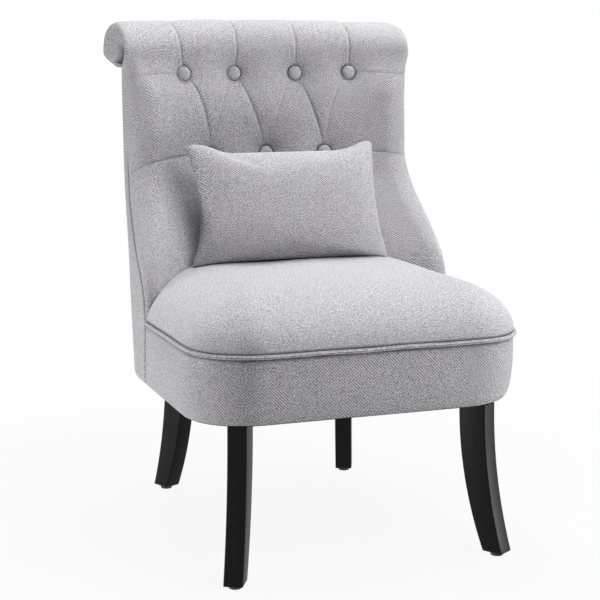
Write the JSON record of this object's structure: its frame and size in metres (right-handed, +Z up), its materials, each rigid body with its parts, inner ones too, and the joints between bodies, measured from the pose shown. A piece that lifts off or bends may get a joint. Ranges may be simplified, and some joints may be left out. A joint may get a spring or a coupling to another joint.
{
  "type": "tub chair",
  "caption": "Small upholstered tub chair with a domed drum seat, buttoned back with rolled top, swept wings, sabre legs and a loose lumbar pillow.",
  "frame": {"origin": "middle of the chair's plan box, on the floor", "axes": "+Z up, the chair faces -Y, +X to the right as seen from the front; left and right in the node names are as seen from the front"},
  "size_m": [0.5094, 0.5721, 0.7828],
  "materials": {
    "woven_cover": "light grey heathered twill weave, matt",
    "foam": "open-cell foam",
    "pillow_fill": "hollow-fibre filled inner",
    "wadding": "polyester wadding",
    "fibreboard": "thin bent fibreboard",
    "plywood": "sawn plywood",
    "hardwood": "planed hardwood",
    "black_lacquer": "satin black lacquer",
    "felt": "pressed felt",
    "black_cloth": "non-woven dust cloth",
    "black_plastic": "moulded nylon",
    "zip": "woven tape with nylon coil",
    "twine": "waxed twine",
    "steel": "bright zinc plated"
  },
  "bodies": {
    "chair": {"inside_back_cover": "woven_cover", "outside_back_cover": "woven_cover", "seat_border_cover": "woven_cover", "seat_top_cover": "woven_cover", "seat_piping": "woven_cover", "tuft_buttons": "woven_cover", "back_foam": "foam", "roll_foam": "foam", "seat_foam": "foam", "outside_back_wadding": "wadding", "border_wadding": "wadding", "back_liner": "fibreboard", "outside_back_board": "fibreboard", "border_board": "fibreboard", "seat_base_board": "plywood", "seat_top_ring": "plywood", "back_rib_lower": "plywood", "back_rib_middle": "plywood", "back_rib_upper": "plywood", "back_post_left": "hardwood", "back_post_right": "hardwood", "back_top_rail": "hardwood", "leg_dowels": "hardwood", "tuft_toggles": "hardwood", "spring_pad": "felt", "dust_cover": "black_cloth", "floor_glides": "black_plastic", "tuft_twines": "twine", "ring_screws": "steel", "block_screws": "steel", "post_screws": "steel", "rail_screws": "steel", "leg_bolts": "steel", "leg_t_nuts": "steel", "seat_springs": "steel", "spring_clips": "steel", "dust_cover_tacks": "steel", "leg_front_left": "black_lacquer", "corner_block_front_left": "hardwood", "leg_front_right": "black_lacquer", "corner_block_front_right": "hardwood", "leg_rear_left": "black_lacquer", "corner_block_rear_left": "hardwood", "leg_rear_right": "black_lacquer", "corner_block_rear_right": "hardwood"},
    "pillow": {"pillow_front_cover": "woven_cover", "pillow_rear_cover": "woven_cover", "pillow_insert": "pillow_fill", "pillow_zip": "zip"}
  },
  "joints": [
    {"name": "pillow_lift", "type": "slide", "parent": "chair", "child": "pillow", "axis": [0, -0.5, 0.866], "range_m": [0, 0.4]}
  ]
}
